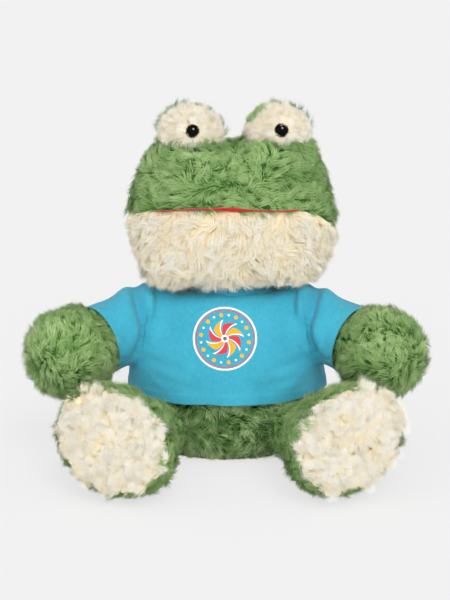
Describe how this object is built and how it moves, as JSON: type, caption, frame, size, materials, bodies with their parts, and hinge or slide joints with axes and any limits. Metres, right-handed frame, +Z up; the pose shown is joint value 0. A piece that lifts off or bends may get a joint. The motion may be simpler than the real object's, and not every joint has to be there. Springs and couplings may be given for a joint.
{
  "type": "plush toy",
  "caption": "Sitting long-pile plush frog in a jersey T-shirt, with a head that turns and nods and limbs that swing at their seams.",
  "frame": {"origin": "middle of the seat panel's flat underside, on the surface that the frog sits on", "axes": "+X to the frog's left, -Y the way its shirt front faces, +Z up"},
  "size_m": [0.243, 0.1721, 0.2225],
  "materials": {
    "green_plush": "long-pile polyester plush, swirling locks",
    "deep_green_plush": "long-pile polyester plush, shaded belly",
    "cream_plush": "long-pile polyester plush",
    "blue_jersey": "fine cotton jersey",
    "red_felt": "matt felt",
    "black_plastic": "polished",
    "white_plastic": "moulded",
    "fibre": "loose polyester filling"
  },
  "bodies": {
    "torso": {"torso_front": "deep_green_plush", "torso_back": "green_plush", "seat_panel": "green_plush", "torso_stuffing": "fibre", "shirt_front": "blue_jersey", "shirt_back": "blue_jersey", "collar": "blue_jersey"},
    "neck": {"neck": "green_plush"},
    "head": {"head_front": "green_plush", "chin": "cream_plush", "head_back": "green_plush", "mouth_lining": "red_felt", "head_stuffing": "fibre", "eye_front_left": "cream_plush", "eye_front_right": "cream_plush", "eye_hood_left": "green_plush", "eye_hood_right": "green_plush", "eye_stuffing_left": "fibre", "eye_stuffing_right": "fibre", "eye_bead_left": "black_plastic", "eye_bead_right": "black_plastic", "eye_washer_left": "white_plastic", "eye_washer_right": "white_plastic"},
    "arm_left": {"arm_skin_left": "green_plush", "arm_stuffing_left": "fibre", "sleeve_left": "blue_jersey"},
    "arm_right": {"arm_skin_right": "green_plush", "arm_stuffing_right": "fibre", "sleeve_right": "blue_jersey"},
    "leg_left": {"leg_skin_left": "green_plush", "leg_stuffing_left": "fibre", "sole_left": "cream_plush"},
    "leg_right": {"leg_skin_right": "green_plush", "leg_stuffing_right": "fibre", "sole_right": "cream_plush"}
  },
  "joints": [
    {"name": "head_turn", "type": "hinge", "parent": "torso", "child": "neck", "pos_m": [0.004, -0.00184, 0.103], "axis": [0, 0, 1], "range_deg": [-40, 40], "stiffness_Nm_per_rad": 0.25},
    {"name": "head_nod", "type": "hinge", "parent": "neck", "child": "head", "pos_m": [0.004, -0.00184, 0.103], "axis": [1, 0, 0], "range_deg": [-12, 12], "stiffness_Nm_per_rad": 0.9},
    {"name": "arm_left_raise", "type": "hinge", "parent": "torso", "child": "arm_left", "pos_m": [0.0552, -0.01149, 0.08181], "axis": [-0.6018, -0.7986, 0], "range_deg": [-12, 55], "stiffness_Nm_per_rad": 0.12},
    {"name": "arm_right_raise", "type": "hinge", "parent": "torso", "child": "arm_right", "pos_m": [-0.0552, -0.01149, 0.08181], "axis": [-0.6018, 0.7986, 0], "range_deg": [-12, 55], "stiffness_Nm_per_rad": 0.12},
    {"name": "leg_left_lift", "type": "hinge", "parent": "torso", "child": "leg_left", "pos_m": [0.04247, -0.04532, 0.0226], "axis": [-0.8988, -0.4384, 0], "range_deg": [-35, 10], "stiffness_Nm_per_rad": 0.25},
    {"name": "leg_right_lift", "type": "hinge", "parent": "torso", "child": "leg_right", "pos_m": [-0.04247, -0.04532, 0.0226], "axis": [-0.9336, 0.3584, 0], "range_deg": [-35, 10], "stiffness_Nm_per_rad": 0.25}
  ]
}
